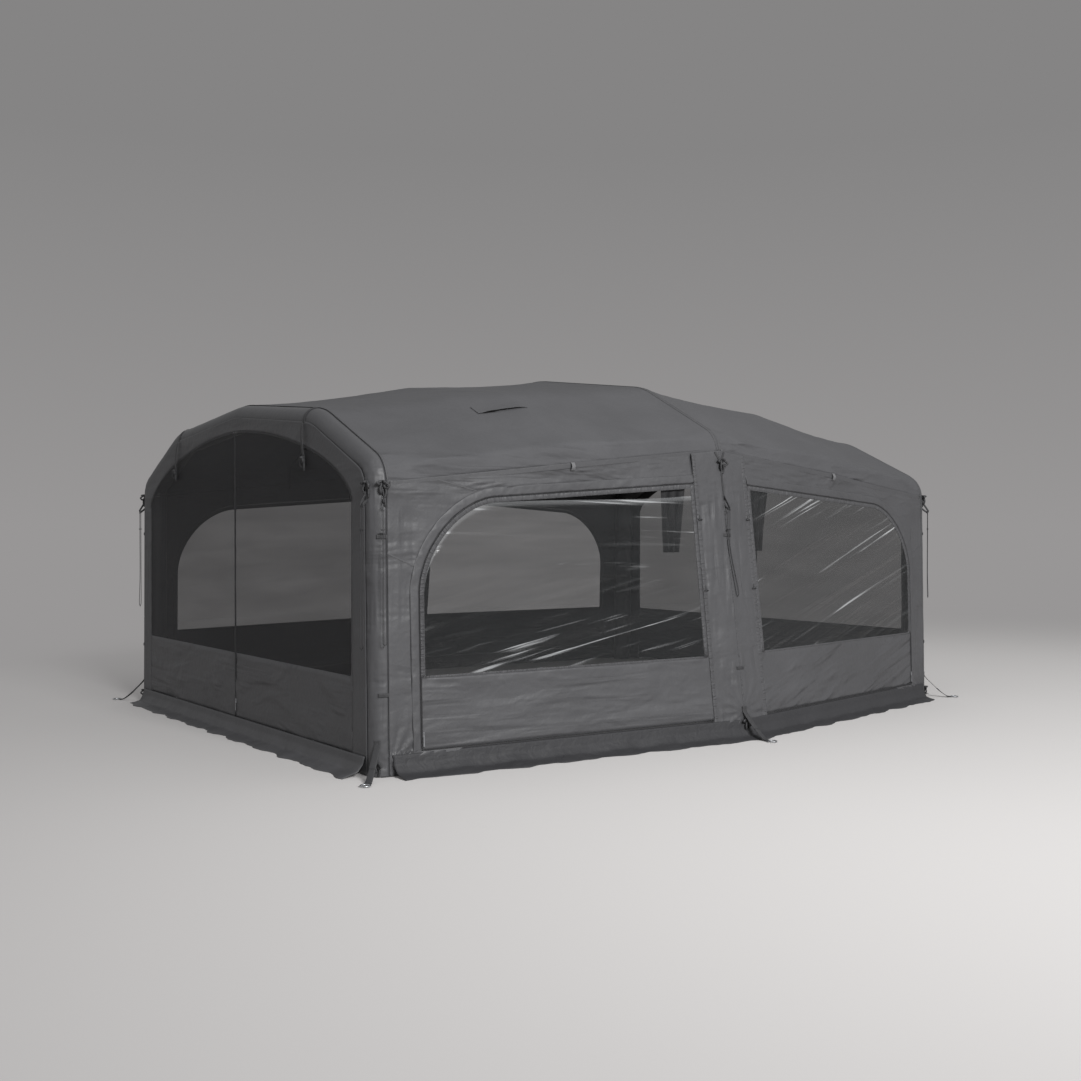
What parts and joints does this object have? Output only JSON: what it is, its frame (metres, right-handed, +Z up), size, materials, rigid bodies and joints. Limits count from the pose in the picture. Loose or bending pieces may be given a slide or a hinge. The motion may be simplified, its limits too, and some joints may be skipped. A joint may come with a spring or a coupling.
{
  "type": "inflatable tent",
  "caption": "Two-bay inflatable shelter tent on round air-beam arches, with film-window side doors, meshed end doors, skirts, peg rings and folded guy lines.",
  "frame": {"origin": "on the floor under the middle of the middle arch", "axes": "+X along the tent from the end with the nearer mesh doors to the other end, +Y across it to the far side, +Z up"},
  "size_m": [5.1044, 4.635, 2.3678],
  "materials": {
    "skin": "coated charcoal polyester with a faint satin sheen",
    "sleeve": "charcoal polyester sleeve and webbing, satin",
    "bladder": "smooth welded film, slightly glossy",
    "film": "clear flexible window film, glossy and wrinkled",
    "mesh": "fine black insect mesh",
    "curtain": "thin dark curtain cloth, matte",
    "zip_metal": "dark enamelled zip alloy",
    "pole": "dark glass-fibre rod, satin",
    "plastic": "moulded black plastic, satin",
    "cord": "braided dark grey cord"
  },
  "bodies": {
    "tent": {"air_bladder_left": "bladder", "air_bladder_middle": "bladder", "air_bladder_right": "bladder", "beam_sleeve_left": "sleeve", "beam_sleeve_middle": "sleeve", "beam_sleeve_right": "sleeve", "canopy_left": "skin", "canopy_right": "skin", "roof_pole_left": "pole", "roof_pole_right": "pole", "curtain_tail_left": "curtain", "curtain_tail_right": "curtain", "end_frame_left": "skin", "end_frame_right": "skin", "guy_line_left_far": "cord", "guy_line_left_near_end": "cord", "guy_line_left_near_side": "cord", "guy_line_middle_near": "cord", "guy_line_right_near": "cord", "middle_pillar_far": "skin", "middle_pillar_near": "skin", "skirt_far": "skin", "skirt_near": "skin", "skirt_left": "skin", "skirt_right": "skin", "wall_frame_left_far": "skin", "wall_frame_left_near": "skin", "wall_frame_right_far": "skin", "wall_frame_right_near": "skin"},
    "side_door_left_near": {"side_door_left_near_panel": "skin", "side_door_left_near_window": "film"},
    "side_door_left_far": {"side_door_left_far_panel": "skin", "side_door_left_far_window": "film"},
    "side_door_right_near": {"side_door_right_near_panel": "skin", "side_door_right_near_window": "film"},
    "side_door_right_far": {"side_door_right_far_panel": "skin", "side_door_right_far_window": "film"},
    "end_door_left_near": {"end_door_left_near_panel": "skin", "end_door_left_near_mesh": "mesh"},
    "end_door_left_far": {"end_door_left_far_panel": "skin", "end_door_left_far_mesh": "mesh"},
    "end_door_right_near": {"end_door_right_near_panel": "skin", "end_door_right_near_mesh": "mesh"},
    "end_door_right_far": {"end_door_right_far_panel": "skin", "end_door_right_far_mesh": "mesh"},
    "slider_side_left_near": {"zip_slider_side_left_near": "zip_metal"},
    "slider_side_left_far": {"zip_slider_side_left_far": "zip_metal"},
    "slider_side_right_near": {"zip_slider_side_right_near": "zip_metal"},
    "slider_side_right_far": {"zip_slider_side_right_far": "zip_metal"},
    "slider_end_left": {"zip_slider_end_left": "zip_metal"},
    "slider_end_right": {"zip_slider_end_right": "zip_metal"},
    "cap_left": {"valve_cap_left": "plastic"},
    "cap_middle": {"valve_cap_middle": "plastic"},
    "cap_right": {"valve_cap_right": "plastic"},
    "vent_flap": {"roof_vent_flap": "skin"},
    "runner_left_far": {"guy_runner_left_far": "plastic"},
    "runner_left_near_end": {"guy_runner_left_near_end": "plastic"},
    "runner_left_near_side": {"guy_runner_left_near_side": "plastic"},
    "runner_middle_near": {"guy_runner_middle_near": "plastic"},
    "runner_right_near": {"guy_runner_right_near": "plastic"}
  },
  "joints": [
    {"name": "side_door_left_near_swing", "type": "hinge", "parent": "tent", "child": "side_door_left_near", "pos_m": [-0.2358, -2.03044, 0.1208], "axis": [0, 0.1216, 0.9926], "range_deg": [0, 90]},
    {"name": "side_door_left_far_swing", "type": "hinge", "parent": "tent", "child": "side_door_left_far", "pos_m": [-0.2358, 2.03044, 0.1208], "axis": [0, 0.1216, -0.9926], "range_deg": [0, 90]},
    {"name": "side_door_right_near_swing", "type": "hinge", "parent": "tent", "child": "side_door_right_near", "pos_m": [0.2358, -2.03044, 0.1208], "axis": [0, -0.1216, -0.9926], "range_deg": [0, 90]},
    {"name": "side_door_right_far_swing", "type": "hinge", "parent": "tent", "child": "side_door_right_far", "pos_m": [0.2358, 2.03044, 0.1208], "axis": [0, -0.1216, 0.9926], "range_deg": [0, 90]},
    {"name": "end_door_left_near_swing", "type": "hinge", "parent": "tent", "child": "end_door_left_near", "pos_m": [-2.39, -1.4992, 0.0908], "axis": [0, 0, 1], "range_deg": [0, 90]},
    {"name": "end_door_left_far_swing", "type": "hinge", "parent": "tent", "child": "end_door_left_far", "pos_m": [-2.39, 1.4992, 0.0908], "axis": [0, 0, -1], "range_deg": [0, 90]},
    {"name": "end_door_right_near_swing", "type": "hinge", "parent": "tent", "child": "end_door_right_near", "pos_m": [2.39, -1.4992, 0.0908], "axis": [0, 0, -1], "range_deg": [0, 90]},
    {"name": "end_door_right_far_swing", "type": "hinge", "parent": "tent", "child": "end_door_right_far", "pos_m": [2.39, 1.4992, 0.0908], "axis": [0, 0, 1], "range_deg": [0, 90]},
    {"name": "slider_side_left_near_slide", "type": "slide", "parent": "side_door_left_near", "child": "slider_side_left_near", "axis": [0, 0.028, 0.9996], "range_m": [0, 0.7]},
    {"name": "slider_side_left_far_slide", "type": "slide", "parent": "side_door_left_far", "child": "slider_side_left_far", "axis": [0, -0.028, 0.9996], "range_m": [0, 0.7]},
    {"name": "slider_side_right_near_slide", "type": "slide", "parent": "side_door_right_near", "child": "slider_side_right_near", "axis": [0, 0.028, 0.9996], "range_m": [0, 0.7]},
    {"name": "slider_side_right_far_slide", "type": "slide", "parent": "side_door_right_far", "child": "slider_side_right_far", "axis": [0, -0.028, 0.9996], "range_m": [0, 0.7]},
    {"name": "slider_end_left_slide", "type": "slide", "parent": "end_door_left_near", "child": "slider_end_left", "axis": [0, 0, 1], "range_m": [0, 1.6]},
    {"name": "slider_end_right_slide", "type": "slide", "parent": "end_door_right_near", "child": "slider_end_right", "axis": [0, 0, 1], "range_m": [0, 1.6]},
    {"name": "cap_left_turn", "type": "hinge", "parent": "tent", "child": "cap_left", "pos_m": [-2.3067, -1.65081, 0.31846], "axis": [0, 0.9998, -0.0185], "continuous": true},
    {"name": "cap_middle_turn", "type": "hinge", "parent": "tent", "child": "cap_middle", "pos_m": [0, -1.95443, 0.3089], "axis": [0, 0.9911, -0.1332], "continuous": true},
    {"name": "cap_right_turn", "type": "hinge", "parent": "tent", "child": "cap_right", "pos_m": [2.3067, -1.65081, 0.31846], "axis": [0, 0.9998, -0.0185], "continuous": true},
    {"name": "vent_flap_lift", "type": "hinge", "parent": "tent", "child": "vent_flap", "pos_m": [-1.29208, -1.24514, 2.015], "axis": [-0.9839, 0.0757, -0.1621], "range_deg": [0, 35]},
    {"name": "runner_left_far_slide", "type": "slide", "parent": "tent", "child": "runner_left_far", "axis": [0, 0, -1], "range_m": [0, 0.15]},
    {"name": "runner_left_near_end_slide", "type": "slide", "parent": "tent", "child": "runner_left_near_end", "axis": [0, 0, -1], "range_m": [0, 0.15]},
    {"name": "runner_left_near_side_slide", "type": "slide", "parent": "tent", "child": "runner_left_near_side", "axis": [0, 0, -1], "range_m": [0, 0.15]},
    {"name": "runner_middle_near_slide", "type": "slide", "parent": "tent", "child": "runner_middle_near", "axis": [0, 0, -1], "range_m": [0, 0.05]},
    {"name": "runner_right_near_slide", "type": "slide", "parent": "tent", "child": "runner_right_near", "axis": [0, 0, -1], "range_m": [0, 0.15]}
  ]
}
